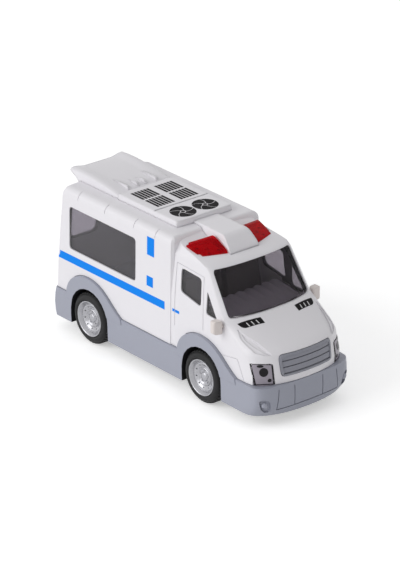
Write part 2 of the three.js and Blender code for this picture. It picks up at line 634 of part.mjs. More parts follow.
function idlerGear() {
  const pinion = gear(IDLER_PINION_TEETH, COARSE, -8.4, -4.4, gapAngle(MESH_TILT_1, IDLER_PINION_TEETH));
  const wheel = gear(IDLER_WHEEL_TEETH, FINE, -4.4, -2.2, MESH_TILT_2);
  return join(pinion, wheel, rod(SHAFT_R, -10.4, 10.4, 0, 0, 12)).translate([IDLER.x, 0, IDLER.z]);
}
function flywheelPinion() {
  const pinion = gear(FLY_TEETH, FINE, -4.7, -1.9, gapAngle(MESH_TILT_2, FLY_TEETH));
  return join(pinion, rod(SHAFT_R, -10.4, 10.4, 0, 0, 12)).translate([FLY.x, 0, FLY.z]);
}

function motorFrame() {
  const foot = SKIRT_LOW + PLATE_T + 0.1;
  const cheek = [[-82, foot], [-82, 24], [-74, 31], [-50, 33.5], [-45.5, 29], [-45.5, foot]];
  const cheeks = paired(prism("y", outline(cheek, 1), -10.6, -9.2));
  const base = block(-82, -45.5, -10.6, 10.6, foot, foot + 1);
  const bores = [
    rod(AXLE_R + FIT, -12, 12, REAR_AXLE_X, TYRE_R, 14),
    rod(SHAFT_R + 0.2, -12, 12, IDLER.x, IDLER.z, 12),
    rod(SHAFT_R + 0.2, -12, 12, FLY.x, FLY.z, 12),
  ];
  return cut(cheeks.add(base), ...bores);
}

// Colours by material.
const look = (color, roughness, metalness = 0) => new THREE.MeshStandardMaterial({ color, roughness, metalness });
const clear = (color, roughness, opacity) =>
  new THREE.MeshStandardMaterial({ color, roughness, opacity, transparent: true });
const white = () => look(0xf0eeee, 0.35);
const grey = () => look(0x9fa2b0, 0.45);
const dark = () => look(0x2c2c30, 0.6);
const steel = () => look(0xb9bcc2, 0.3, 1);
const brass = () => look(0xb98d4a, 0.35, 1);
const silver = () => look(0xc4c5c8, 0.35, 0.6);
const rubber = () => look(0x161617, 0.85);
const smoke = () => clear(0x4a4654, 0.15, 0.6);
const red = () => clear(0x9d0f18, 0.15, 0.8);

const group = new THREE.Group();
group.name = "toy_police_van";
function assembly(name, parent = group) {
  const made = new THREE.Group();
  made.name = name;
  parent.add(made);
  return made;
}
function node(name, made, material, parent) {
  const m = made.asOriginal().simplify(FACET).getMesh();
  const g = new THREE.BufferGeometry();
  g.setAttribute("position", new THREE.BufferAttribute(new Float32Array(m.vertProperties), 3));
  g.setIndex(new THREE.BufferAttribute(new Uint32Array(m.triVerts), 1));
  g.computeVertexNormals();
  const mesh = new THREE.Mesh(g, material);
  mesh.name = name;
  parent.add(mesh);
}
function pairNodes(name, right, material, parent) {
  node(name + "_right", right, material(), parent);
  node(name + "_left", mirrored(right), material(), parent);
}

const body = assembly("body");
node("body_shell", bodyShell(), white(), body);
node("lower_body", lowerBody(), grey(), body);
node("chassis_plate", chassisPlate(), dark(), body);
node("roof_pod", roofPod(), white(), body);
node("rear_spoiler", rearSpoiler(), white(), body);
node("cab_glazing", cabGlazing(), smoke(), body);
pairNodes("side_window", pane("y", sideShape, -BOX_HALF - 2, -BOX_HALF + 5.3), smoke, body);
pairNodes("rear_window", pane("x", rearShape, BOX_REAR - 3, BOX_REAR + 21), smoke, body);
node("grille", grille(), grey(), body);
pairNodes("headlight", headlight(), () => clear(0xd9dbe0, 0.1, 0.5), body);
pairNodes("mirror", mirror(), () => look(0xe9e6da, 0.4), body);
pairNodes("beacon", cut(beacon(0), beacon(1.2), bodyForm(-0.1)), red, body);
node("cab_interior", cabInterior(), dark(), body);

const electrics = assembly("electrics", body);
const ledLine = [[0, 107.3], [0.9, 107], [LED_R, 105.8], [LED_R, 99], [0, 99]];
const led = turned(ledLine, 14).rotate([90, 0, 0]).translate([33, -22, -3.2]);
pairNodes("led", led, () => clear(0xfff0f0, 0.1, 0.7), electrics);
const boardHoles = [40, 66].flatMap((x) => [-10, 10].map((y) => peg(0.8, BOARD_Z - 2, BOARD_Z + 8, x, y, 8)));
node("circuit_board", cut(block(36, 70, -14, 14, BOARD_Z + 0.05, BOARD_Z + 0.05 + BOARD_T), ...boardHoles), look(0x1f6b3a, 0.5), electrics);
const cone = [[0, 14], [3, 13.2], [8.6, 11], [10, 11], [10, 14.4], [5, 17], [5, 19.5], [0, 19.5]];
node("speaker", turned(cone, 14).rotate([90, 0, 0]).translate([SPEAKER_X, 0, 0]), dark(), electrics);
const coverPlate = block(-11.4 + FIT, 11.4 - FIT, -7.4 + FIT, 7.4 - FIT, SKIRT_LOW, SKIRT_LOW + 1.2);
node("battery_cover", cut(coverPlate, peg(0.9, 0, 20, 0, 0, 12), peg(1.8, 0, 9.9, 0, 0, 12)), dark(), electrics);
const drive = (x, y, low, head, neck, long) =>
  turned([[0, low], [head, low], [head, low + 0.6], [neck, low + 0.65], [neck, low + long], [0, low + long]], 6)
    .rotate([90, 0, 0])
    .translate([x, y, 0]);
node("battery_screw", drive(0, 0, 9.25, 1.5, 0.6, 1.1), steel(), electrics);
for (let i = 0; i < 3; i++) {
  const x0 = -8.6 + i * (CELL_L + 0.3);
  const can = new THREE.CylinderGeometry(CELL_R, CELL_R, CELL_L, 14).rotateZ(Math.PI / 2);
  node("cell_" + (i + 1), solid(can.translate(x0 + CELL_L / 2, 0, 17.2)), steel(), electrics);
}
node("contact_rear", block(-10.6, -9.1, -3, 3, 11.2, 20), brass(), electrics);
node("contact_front", block(8.6, 10.1, -3, 3, 11.2, 20), brass(), electrics);
let screwNumber = 0;
for (const x of SCREW_X)
  for (const y of [-SCREW_Y, SCREW_Y]) {
    screwNumber += 1;
    node("chassis_screw_" + screwNumber, drive(x, y, 9.25, 2.4, 0.95, 12), steel(), body);
  }

const plateTop = SKIRT_LOW + PLATE_T;
const knob = join(
  block(SWITCH_X - 1.6, SWITCH_X + 1.6, -1.5, 1.5, 8.4, plateTop + 1),
  block(SWITCH_X - 4, SWITCH_X + 4, -3.4, 3.4, plateTop + FIT, plateTop + 1.4),
);
node("switch_knob", knob, look(0x1d1d20, 0.5), assembly("power_switch"));

const axle = (x) => rod(AXLE_R, -WHEEL_FACE + 2.6, WHEEL_FACE - 2.6, x, TYRE_R, 16);
const [rimForm, tyreForm] = [rim(), tyre()];
function wheelset(name, x, parent) {
  node(name + "_axle", axle(x), steel(), parent);
  pairNodes(name + "_rim", rimForm.translate([x, 0, TYRE_R]), silver, parent);
  pairNodes(name + "_tyre", tyreForm.translate([x, 0, TYRE_R]), rubber, parent);
}
wheelset("front", FRONT_AXLE_X, assembly("front_wheelset"));
const rearSet = assembly("rear_wheelset");
wheelset("rear", REAR_AXLE_X, rearSet);
const axleGear = cut(gear(AXLE_TEETH, COARSE, -8, -5, MESH_TILT_1), rod(AXLE_R + PRESS, -12, 0, 0, 0, 16));
node("axle_gear", axleGear.translate([REAR_AXLE_X, 0, TYRE_R]), look(0xe8e8e4, 0.5), rearSet);

node("motor_frame", motorFrame(), look(0xd8d8d2, 0.5), body);
node("idler_gear", idlerGear(), look(0xe8e8e4, 0.5), assembly("idler"));
const flywheel = assembly("flywheel");
node("flywheel_pinion", flywheelPinion(), steel(), flywheel);
const disc = cut(rod(DISC_R, 0, 7, FLY.x, FLY.z, 24), rod(SHAFT_R + PRESS, -1, 8, FLY.x, FLY.z, 12));
node("flywheel_disc", disc, steel(), flywheel);

export default group;
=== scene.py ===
import math

import bmesh
import bpy
from mathutils import Matrix, Vector
from mathutils.bvhtree import BVHTree


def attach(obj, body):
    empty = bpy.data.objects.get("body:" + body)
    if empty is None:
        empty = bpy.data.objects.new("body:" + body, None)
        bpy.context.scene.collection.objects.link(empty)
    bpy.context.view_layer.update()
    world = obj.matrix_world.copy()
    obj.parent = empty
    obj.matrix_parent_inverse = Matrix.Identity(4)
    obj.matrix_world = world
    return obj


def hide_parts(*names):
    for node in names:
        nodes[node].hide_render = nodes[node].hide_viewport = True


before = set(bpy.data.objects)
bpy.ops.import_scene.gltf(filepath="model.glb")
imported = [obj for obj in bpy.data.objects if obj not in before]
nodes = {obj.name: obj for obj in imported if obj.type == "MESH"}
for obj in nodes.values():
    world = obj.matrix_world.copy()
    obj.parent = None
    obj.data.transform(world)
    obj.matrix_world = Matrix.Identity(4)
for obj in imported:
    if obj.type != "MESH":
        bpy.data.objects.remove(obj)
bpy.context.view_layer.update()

# Studio: a pale floor and an even white room, with one broad soft lamp on the van's right.
# The camera stands ahead of the right front corner, a little above the roof, with a long lens.
scene = bpy.context.scene
scene.view_settings.view_transform = "Standard"
IMAGE_TALL, FOCAL_PIXELS, CAMERA_AWAY = 570.0, 3502.19, 2.4233
azimuth, elevation = math.radians(50.216), math.radians(24.402)
aim = Vector((-0.00075, 0.0, 0.05838))
level_reach = math.cos(elevation)
back = Vector((math.sin(azimuth) * level_reach, -math.cos(azimuth) * level_reach, math.sin(elevation)))
lens = bpy.data.cameras.new("camera")
lens.sensor_width = 36.0
lens.lens = FOCAL_PIXELS * lens.sensor_width / IMAGE_TALL
lens.clip_end = 60.0
camera = bpy.data.objects.new("camera", lens)
camera.location = aim + back * CAMERA_AWAY
camera.rotation_euler = back.to_track_quat("Z", "Y").to_euler()
scene.collection.objects.link(camera)
scene.camera = camera

lamp = bpy.data.lights.new("soft_lamp", "SUN")
lamp.energy = 1.43
lamp.angle = math.radians(50)
lamp_object = bpy.data.objects.new("soft_lamp", lamp)
lamp_object.rotation_euler = Vector((-0.34, -0.92, 0.45)).to_track_quat("Z", "Y").to_euler()
scene.collection.objects.link(lamp_object)


def seen_directly(tree):
    path = tree.nodes.new("ShaderNodeLightPath")
    first = tree.nodes.new("ShaderNodeMath")
    first.operation = "MAXIMUM"
    both = tree.nodes.new("ShaderNodeMath")
    both.operation = "MAXIMUM"
    tree.links.new(path.outputs["Is Camera Ray"], first.inputs[0])
    tree.links.new(path.outputs["Is Glossy Ray"], first.inputs[1])
    tree.links.new(first.outputs[0], both.inputs[0])
    tree.links.new(path.outputs["Is Transmission Ray"], both.inputs[1])
    return both.outputs[0]


room = bpy.data.worlds.new("room")
scene.world = room
room.use_nodes = True
room_light = room.node_tree.nodes["Background"]
room_light.inputs["Color"].default_value = (1, 1, 1, 1)
level = room.node_tree.nodes.new("ShaderNodeMapRange")
level.inputs["To Min"].default_value = 0.53
level.inputs["To Max"].default_value = 1.0
room.node_tree.links.new(seen_directly(room.node_tree), level.inputs["Value"])
room.node_tree.links.new(level.outputs["Result"], room_light.inputs["Strength"])

floor_bm = bmesh.new()
bmesh.ops.create_grid(floor_bm, x_segments=2, y_segments=2, size=9.0)
floor_mesh = bpy.data.meshes.new("floor")
floor_bm.to_mesh(floor_mesh)
floor_bm.free()
floor = bpy.data.objects.new("floor", floor_mesh)
scene.collection.objects.link(floor)
paper = bpy.data.materials.new("pale_paper")
paper.use_nodes = True
paper_shader = paper.node_tree.nodes["Principled BSDF"]
paper_shader.inputs["Base Color"].default_value = (0.96, 0.96, 0.96, 1)
paper_shader.inputs["Roughness"].default_value = 0.9
paper_shader.inputs["Specular IOR Level"].default_value = 0.1
paper_shader.inputs["Emission Color"].default_value = (1, 1, 1, 1)
glow = paper.node_tree.nodes.new("ShaderNodeMapRange")
glow.inputs["To Max"].default_value = 0.42
paper.node_tree.links.new(seen_directly(paper.node_tree), glow.inputs["Value"])
paper.node_tree.links.new(glow.outputs["Result"], paper_shader.inputs["Emission Strength"])
floor_mesh.materials.append(paper)


# Chassis plate, battery cover, switch knob and speaker: black moulded plastic, lightly grained by the tool.
# The plate is screwed up into four bosses of the skirt; the switch knob slides in its slot.
def plastic(name, colour, rough, mottle=0.03, grain=0.00002, edge=0.0004, shine=0.5):
    made = bpy.data.materials.new(name)
    made.use_nodes = True
    tree = made.node_tree
    shader = tree.nodes["Principled BSDF"]
    place = tree.nodes.new("ShaderNodeTexCoord")
    cloud = tree.nodes.new("ShaderNodeTexNoise")
    cloud.inputs["Scale"].default_value = 70.0
    cloud.inputs["Detail"].default_value = 3.0
    speck = tree.nodes.new("ShaderNodeTexNoise")
    speck.inputs["Scale"].default_value = 2600.0
    speck.inputs["Detail"].default_value = 2.0
    tone = tree.nodes.new("ShaderNodeMix")
    tone.data_type = "RGBA"
    tone.inputs[6].default_value = (*colour, 1)
    tone.inputs[7].default_value = (*(c * (1 - mottle) for c in colour), 1)
    gloss = tree.nodes.new("ShaderNodeMapRange")
    gloss.inputs["To Min"].default_value = rough - 0.06
    gloss.inputs["To Max"].default_value = rough + 0.08
    rounded = tree.nodes.new("ShaderNodeBevel")
    rounded.samples = 4
    rounded.inputs["Radius"].default_value = edge
    bump = tree.nodes.new("ShaderNodeBump")
    bump.inputs["Strength"].default_value = 0.3
    bump.inputs["Distance"].default_value = grain
    for noise in (cloud, speck):
        tree.links.new(place.outputs["Object"], noise.inputs["Vector"])
    tree.links.new(cloud.outputs["Fac"], tone.inputs[0])
    tree.links.new(tone.outputs[2], shader.inputs["Base Color"])
    tree.links.new(cloud.outputs["Fac"], gloss.inputs["Value"])
    tree.links.new(gloss.outputs["Result"], shader.inputs["Roughness"])
    tree.links.new(speck.outputs["Fac"], bump.inputs["Height"])
    tree.links.new(rounded.outputs["Normal"], bump.inputs["Normal"])
    tree.links.new(bump.outputs["Normal"], shader.inputs["Normal"])
    shader.inputs["Specular IOR Level"].default_value = shine
    return made


def finish_nodes(material, *names):
    for name in names:
        slots = nodes[name].data.materials
        slots.clear()
        slots.append(material)


black_plastic = plastic("black_moulded_plastic", (0.018, 0.018, 0.021), 0.55, grain=0.00004)
finish_nodes(black_plastic, "chassis_plate", "battery_cover", "switch_knob", "speaker")

# Friction drive: natural nylon gears and frame, a bright steel flywheel on its own shaft.
# It is clamped over the rear axle; a stamped brass strip touches each end of the row of cells.
nylon = plastic("natural_nylon", (0.72, 0.72, 0.68), 0.5)
finish_nodes(nylon, "motor_frame", "axle_gear", "idler_gear")


def metal(name, colour, rough, streak):
    made = plastic(name, colour, rough, mottle=0.12, grain=0.00001)
    shader = made.node_tree.nodes["Principled BSDF"]
    shader.inputs["Metallic"].default_value = 1.0
    drawn = made.node_tree.nodes.new("ShaderNodeMapping")
    drawn.inputs["Scale"].default_value = streak
    place = made.node_tree.nodes["Texture Coordinate"]
    made.node_tree.links.new(place.outputs["Object"], drawn.inputs["Vector"])
    made.node_tree.links.new(drawn.outputs["Vector"], made.node_tree.nodes["Noise Texture"].inputs["Vector"])
    return made


steel = metal("drawn_steel", (0.6, 0.61, 0.63), 0.28, (6, 0.3, 6))
finish_nodes(steel, "front_axle", "rear_axle", "flywheel_disc", "flywheel_pinion", "battery_screw")
finish_nodes(steel, "cell_1", "cell_2", "cell_3")
finish_nodes(steel, "chassis_screw_1", "chassis_screw_2", "chassis_screw_3", "chassis_screw_4")
finish_nodes(metal("stamped_brass", (0.62, 0.44, 0.19), 0.35, (1, 8, 1)), "contact_rear", "contact_front")
finish_nodes(plastic("board_green", (0.03, 0.2, 0.08), 0.4, mottle=0.2), "circuit_board")

# Rims: silver-coated plastic pressed on the axle ends, a dished disc with a ring of small holes,
# a raised hub and five nuts. Sizes in millimetres about the wheel centre, +Y outwards.
REAR_X, FRONT_X, WHEEL_Z = -72.5, 50.5, 19.2
WHEELS = {
    "rear_rim_right": (REAR_X, -1), "rear_rim_left": (REAR_X, 1),
    "front_rim_right": (FRONT_X, -1), "front_rim_left": (FRONT_X, 1),
}


def turned(profile, steps):
    bm = bmesh.new()
    spots = [bm.verts.new((r, y, 0)) for r, y in profile]
    edges = [bm.edges.new(pair) for pair in zip(spots, spots[1:])]
    bmesh.ops.spin(bm, geom=spots + edges, cent=(0, 0, 0), axis=(0, 1, 0), dvec=(0, 0, 0),
                   angle=2 * math.pi, steps=steps, use_merge=True)
    bmesh.ops.remove_doubles(bm, verts=bm.verts, dist=1e-4)
    bmesh.ops.dissolve_degenerate(bm, dist=1e-5, edges=bm.edges)
    bmesh.ops.recalc_face_normals(bm, faces=bm.faces)
    return bm


def piece(name, bm, materials, body, sharp=35, unit=0.001):
    bmesh.ops.scale(bm, vec=(unit, unit, unit), verts=bm.verts)
    for face in bm.faces:
        face.smooth = True
    for edge in bm.edges:
        edge.smooth = edge.calc_face_angle(0.0) < math.radians(sharp)
    mesh = bpy.data.meshes.new(name)
    bm.to_mesh(mesh)
    bm.free()
    made = bpy.data.objects.new(name, mesh)
    scene.collection.objects.link(made)
    for material in materials:
        mesh.materials.append(material)
    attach(made, body)
    return made


def column(face, steps):
    c = face.calc_center_median()
    return int((math.atan2(c.z, c.x) / (2 * math.pi) + 1) * steps) % steps


def rim():
    steps, holes, hole_in, hole_out, hole_deep = 60, 10, 7.95, 8.8, 0.9
    nuts, nut_ring, nut_y = 5, 4.4, 38.6
    sleeve = [(0, 38.6), (1.6, 38.6), (1.6, 30.2), (4, 30.2), (4, 36), (10.6, 36.4), (11.2, 30.2)]
    flange = [(12.5, 30.2), (12.5, 41), (13.15, 41.1), (13.15, 41.8), (12.95, 42), (12.55, 41.95), (12.25, 41.65)]
    dish = [(11.5, 40.3), (11.05, 39.8), (10.85, 39.2), (10.5, 39.1), (10.2, 39.55), (9.8, 39.65), (9.3, 39.5)]
    ring = [(hole_out, 39.25), (hole_in, 38.75), (7.2, 38.35), (6.9, 38.4), (6.55, 39.1), (6.1, 39.4), (5.7, 39.3)]
    hub = [(5.3, 38.6), (4.6, 38.4), (3.4, 38.5), (3, 39.3), (2.6, 39.6), (1, 39.8), (0, 39.8)]
    bm = turned(sleeve + flange + dish + ring + hub, steps)

    def is_hole(face):
        c = face.calc_center_median()
        in_ring = hole_in < math.hypot(c.x, c.z) < hole_out and c.y > 38
        return in_ring and column(face, steps) % (steps // holes) == 2

    pierced = [f for f in bm.faces if is_hole(f)]
    bmesh.ops.inset_individual(bm, faces=pierced, thickness=0.06)
    bmesh.ops.translate(bm, vec=(0, -hole_deep, 0), verts=list({v for f in pierced for v in f.verts}))
    for f in pierced:
        f.material_index = 1
    for i in range(nuts):
        a = 2 * math.pi * (i + 0.3) / nuts
        stud = Matrix.Translation((nut_ring * math.cos(a), nut_y, nut_ring * math.sin(a)))
        bmesh.ops.create_cone(bm, cap_ends=True, segments=6, radius1=0.6, radius2=0.68, depth=1.1,
                              matrix=stud @ Matrix.Rotation(math.pi / 2, 4, "X"))
    return bm


def on_axle(bm, x, side):
    bmesh.ops.scale(bm, vec=(1, side, 1), verts=bm.verts)
    bmesh.ops.translate(bm, vec=(x, 0, WHEEL_Z), verts=bm.verts)
    bmesh.ops.recalc_face_normals(bm, faces=bm.faces)
    return bm


silver = plastic("silver_coating", (0.43, 0.43, 0.455), 0.24, mottle=0.06)
silver.node_tree.nodes["Principled BSDF"].inputs["Metallic"].default_value = 0.6
shade_black = plastic("hole_shadow", (0.03, 0.03, 0.03), 0.7)
for name, (x, side) in WHEELS.items():
    wheelset = "rear_wheelset" if x < 0 else "front_wheelset"
    made = piece(name + "_disc", on_axle(rim(), x, side), [silver, shade_black], wheelset, sharp=50)
    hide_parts(name)

# Tyres: soft black rubber stretched over the rims, rounded shoulders, two grooves round the tread
# and rows of raised blocks cut across both shoulders.
rubber = plastic("tyre_rubber", (0.011, 0.011, 0.012), 0.6, mottle=0.25, grain=0.00004, shine=0.3)


def tyre():
    blocks, each, block_high, tyre_r = 40, 3, 0.65, 19.18
    face_side = [(12.7, 40.6), (13.4, 41.3), (14.0, 41.9), (15.0, 42), (16.4, 41.7), (17.4, 41.0), (18.0, 39.9)]
    outer_groove = [(18.5, 38.4), (18.5, 36.4), (17.9, 36.2), (17.9, 35.7), (18.5, 35.5)]
    inner_groove = [(18.5, 34.3), (17.9, 34.1), (17.9, 33.6), (18.5, 33.4), (18.5, 31.6)]
    back_side = [(18.0, 30.1), (17.2, 28.9), (16, 28.3), (14, 28.4), (13.2, 29), (12.7, 30), (12.7, 40.6)]
    bm = turned(face_side + outer_groove + inner_groove + back_side, blocks * each)

    def on_tread(face):
        c = face.calc_center_median()
        r = math.hypot(c.x, c.z)
        turn = column(face, blocks * each) % each
        outer = 36.4 < c.y < 39.9 or 30.1 < c.y < 33.4
        middle = 34.3 < c.y < 35.5
        return r > 18.1 and ((outer and turn < 2) or (middle and turn > 0))

    raised = [f for f in bm.faces if on_tread(f)]
    grown = bmesh.ops.extrude_face_region(bm, geom=raised)["geom"]
    for v in (g for g in grown if isinstance(g, bmesh.types.BMVert)):
        r = math.hypot(v.co.x, v.co.z)
        k = min(r + block_high, tyre_r) / r
        v.co.x *= k
        v.co.z *= k
    bmesh.ops.delete(bm, geom=raised, context="FACES")
    return bm


for name, (x, side) in WHEELS.items():
    node = name.replace("rim", "tyre")
    wheelset = "rear_wheelset" if x < 0 else "front_wheelset"
    made = piece(node + "_tread", on_axle(tyre(), x, side), [rubber], wheelset, sharp=40)
    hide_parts(node)


# Skirt and bumper: one grey satin moulding with the deck inside it; its four wheel wells get painted shade, a
# near-black colour standing in for the shadow inside the arches.
# The shell above drops on its top edge; the finer copy only smooths the curved walls.
def moulding(node, name, materials, body, sharp=32):
    bm = bmesh.new()
    bm.from_mesh(nodes[node].data)
    bmesh.ops.remove_doubles(bm, verts=bm.verts, dist=2e-6)
    bmesh.ops.dissolve_limit(bm, angle_limit=math.radians(0.6), verts=bm.verts, edges=bm.edges)
    made = piece(name, bm, materials, body, sharp=sharp, unit=1.0)
    even = made.modifiers.new("even_shading", "WEIGHTED_NORMAL")
    even.keep_sharp = True
    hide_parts(node)
    return made


grey_plastic = plastic("grey_satin_plastic", (0.345, 0.358, 0.425), 0.4, grain=0.00003, shine=0.4)
# Painted shade: a near-black colour standing in for the shadow inside the wheel wells.
well_painted_shade = plastic("painted_well_shade", (0.014, 0.014, 0.016), 0.8, shine=0.15)
skirt = moulding("lower_body", "skirt_and_bumper", [grey_plastic, well_painted_shade], "body")
WELL_R, WELL_UP, WELL_IN, NEAR = 20.8, 1.4, 26.5, 0.4
# Faces lining the wheel wells take the painted shade.
for face in skirt.data.polygons:
    x, y, z = face.center * 1000.0
    away = min(math.hypot(x - at, max(0.0, z - WHEEL_Z - WELL_UP)) for at in (REAR_X, FRONT_X))
    lining = abs(y) > WELL_IN + NEAR and abs(face.normal.y) < 0.5
    if away < WELL_R + NEAR and (lining or abs(abs(y) - WELL_IN) < 0.3):
        face.material_index = 1

# Cab interior: one dark moulding with the dashboard and two seats, on four legs on the deck.
# A paler padded cover with a scalloped back edge lies on the dashboard, under the windscreen.
dark_trim = plastic("dark_trim", (0.17, 0.155, 0.16), 0.6, grain=0.00005)
finish_nodes(dark_trim, "cab_interior")
pale_trim = plastic("pale_trim", (0.42, 0.4, 0.44), 0.5, grain=0.00005)
PAD_HALF, PAD_THICK, PAD_FLAT, PAD_RISE = 31.0, 1.2, 68.0, 20.0
SCALLOPS, SCALLOP_HIGH, STEPS_EACH = 8, 2.4, 6
PAD_LINE = [(79.4, 59.7), (76.2, 62.2), (72.3, 65.3),
            (67, 66.6), (60, 68.2), (52, 69.8), (47, 70.3), (44.4, 69.6), (43.4, 66.8)]
cover = bmesh.new()
spine = [cover.verts.new((x, -PAD_HALF, z)) for x, z in PAD_LINE]
strip = [cover.edges.new(pair) for pair in zip(spine, spine[1:])]
for _ in range(STEPS_EACH * SCALLOPS):
    strip = bmesh.ops.extrude_edge_only(cover, edges=strip)["geom"]
    moved = [g for g in strip if isinstance(g, bmesh.types.BMVert)]
    bmesh.ops.translate(cover, vec=(0, 2 * PAD_HALF / (STEPS_EACH * SCALLOPS), 0), verts=moved)
    strip = [g for g in strip if isinstance(g, bmesh.types.BMEdge)]
for v in cover.verts:
    back_edge = min(1.0, max(0.0, (PAD_FLAT - v.co.x) / PAD_RISE))
    wave = abs(math.sin(math.pi * SCALLOPS * (v.co.y + PAD_HALF) / (2 * PAD_HALF)))
    v.co.z += SCALLOP_HIGH * back_edge * (wave - 0.5)
bmesh.ops.recalc_face_normals(cover, faces=cover.faces)
if sum(f.normal.z for f in cover.faces) < 0:
    bmesh.ops.reverse_faces(cover, faces=cover.faces)
bmesh.ops.solidify(cover, geom=cover.faces, thickness=PAD_THICK)
piece("dashboard_cover", cover, [pale_trim], "body", sharp=50)


# Glazing: smoked clear plastic, polished, clipped in behind the openings with a thin flange.
# One moulding serves the cab, and each window of the box is a pane of its own.
def clear_plastic(name, colour, rough, weight, ior):
    made = plastic(name, colour, rough + 0.06, mottle=0.08, grain=0.000004)
    shader = made.node_tree.nodes["Principled BSDF"]
    shader.inputs["Transmission Weight"].default_value = weight
    shader.inputs["IOR"].default_value = ior
    return made


smoke = clear_plastic("smoked_clear_plastic", (0.48, 0.455, 0.5), 0.02, 0.97, 1.38)
cab_smoke = clear_plastic("smoked_cab_plastic", (0.5, 0.475, 0.5), 0.02, 0.98, 1.12)
# Painted shade: a near-black colour on the pane edges, standing in for the shadow along each opening.
glazing_edge_shade = plastic("painted_shade_glazing_edge", (0.012, 0.012, 0.014), 0.5, shine=0.1)
DOOR_PANE_Y = 0.0365
cab_panes = moulding("cab_glazing", "cab_panes", [cab_smoke, smoke, glazing_edge_shade], "body", sharp=25)
# The broad faces of the door panes take the side smoke, and their edge faces take the painted shade.
for face in cab_panes.data.polygons:
    if abs(face.normal.y) > 0.7:
        face.material_index = 1
    elif abs(face.normal.y) < 0.3 and abs(face.center.y) > DOOR_PANE_Y:
        face.material_index = 2
for name in ("side_window_right", "side_window_left", "rear_window_right", "rear_window_left"):
    pane = moulding(name, name + "_pane", [smoke, glazing_edge_shade], "body", sharp=25)
    # The edge faces of each box pane take the painted shade.
    for face in pane.data.polygons:
        broad = face.normal.x if name.startswith("rear") else face.normal.y
        face.material_index = 1 if abs(broad) < 0.5 else 0

# Body shell: white satin-gloss plastic, box and cab in one moulding with openings for panes, lamps and grille.
# Four faint panel lines stand at each roof edge.
white_plastic = plastic("white_satin_plastic", (0.80, 0.785, 0.82), 0.36, mottle=0.015)
moulding("body_shell", "white_shell", [white_plastic], "body", sharp=28)

# Grille: a grey frame with four broad louvres, pushed into the nose from the front.
# It is moulded from a slightly darker grey than the skirt.
grille_grey = plastic("grille_grey_plastic", (0.275, 0.28, 0.325), 0.42, grain=0.00003, shine=0.35)
moulding("grille", "louvred_grille", [grille_grey], "body", sharp=28)

# Headlights: clear lenses round the corners over a mauve-grey reflector sheet.
# Each has a black edge on both flanks, a large and a small round lamp and a dark cap above.
lens_grey = plastic("mauve_grey_reflector", (0.33, 0.3, 0.35), 0.2, mottle=0.05, shine=0.35)
gloss_black = plastic("gloss_black", (0.012, 0.011, 0.013), 0.25, mottle=0.1, grain=0.000005, shine=0.15)
for name in ("headlight_right", "headlight_left"):
    moulding(name, name + "_lens", [lens_grey], "body", sharp=30)


def surface(*names):
    bm = bmesh.new()
    for name in names:
        bm.from_mesh(nodes[name].data)
    tree = BVHTree.FromBMesh(bm)
    bm.free()
    return tree


def cling(bm, tree, along, lift):
    along = Vector(along).normalized()
    missed = []
    for v in bm.verts:
        spot, normal, _, _ = tree.ray_cast(v.co * 0.001 - along * 0.06, along, 0.11)
        if spot is None or normal.dot(along) > -0.2:
            missed.append(v)
        else:
            v.co = (spot + normal * lift) * 1000.0
    bmesh.ops.delete(bm, geom=missed, context="VERTS")
    bmesh.ops.recalc_face_normals(bm, faces=bm.faces)
    if sum((f.normal.dot(along) for f in bm.faces)) > 0:
        bmesh.ops.reverse_faces(bm, faces=bm.faces)


def sticker(name, bm, tree, along, material, lift=0.00006, twins=True):
    cling(bm, tree, along, lift)
    copy = bm.copy()
    made = [piece(name + "_right" if twins else name, bm, [material], "body")]
    if twins:
        bmesh.ops.scale(copy, vec=(1, -1, 1), verts=copy.verts)
        bmesh.ops.reverse_faces(copy, faces=copy.faces)
        made.append(piece(name + "_left", copy, [material], "body"))
    return made


def patch(corners, across, down):
    bm = bmesh.new()
    bmesh.ops.create_grid(bm, x_segments=across, y_segments=down, size=0.5)
    a, b, c, d = (Vector(p) for p in corners)
    for v in bm.verts:
        u, w = v.co.x + 0.5, v.co.y + 0.5
        v.co = a.lerp(b, u).lerp(d.lerp(c, u), w)
    return bm


def spot_disc(centre, along, radius, squash=1.0):
    bm = bmesh.new()
    turn = Vector(along).to_track_quat("Z", "Y").to_matrix().to_4x4()
    at = Matrix.Translation(centre) @ turn @ Matrix.Diagonal((1, squash, 1, 1))
    bmesh.ops.create_circle(bm, cap_ends=True, cap_tris=False, segments=28, radius=radius, matrix=at)
    hub = bmesh.ops.poke(bm, faces=bm.faces)["faces"]
    bmesh.ops.subdivide_edges(bm, edges=list({e for f in hub for e in f.edges}), cuts=2, use_grid_fill=True)
    return bm


lamp_face = surface("headlight_right")
look_in = (-0.77, 0.64, 0)
sticker("lamp_main", spot_disc((105.4, -33.1, 40.9), look_in, 3.05), lamp_face, look_in, gloss_black)
sticker("lamp_small", spot_disc((108.1, -30.1, 35.0), look_in, 1.35), lamp_face, look_in, gloss_black)
sticker("lamp_cap", spot_disc((103.2, -34.4, 45.0), look_in, 2.3, 0.4), lamp_face, look_in, gloss_black)
gasket_face = surface("headlight_right", "body_shell")
slant_in = (-0.7, 0.58, -0.41)
top_out, top_in = (97.1, -38.6, 46.1), (107.6, -26.9, 45.7)
low_out, low_in = (101.5, -37.9, 31.4), (109.5, -26.4, 31.6)
for name, corners, along, over in (
    ("outer", (top_out, (98.2, -37.9, 46.1), (102.6, -37.2, 31.6), low_out), 3, 16),
    ("inner", ((107.3, -28.1, 45.7), top_in, low_in, (109.1, -27.8, 31.6)), 3, 16),
    ("upper", (top_out, top_in, (107.7, -27.0, 45.2), (97.3, -38.6, 45.6)), 24, 2),
    ("lower", ((101.4, -37.9, 32.0), (109.4, -26.5, 32.2), low_in, low_out), 24, 2),
):
    sticker("lamp_edge_" + name, patch(corners, along, over), gasket_face, slant_in, gloss_black,
            lift=0.00009)

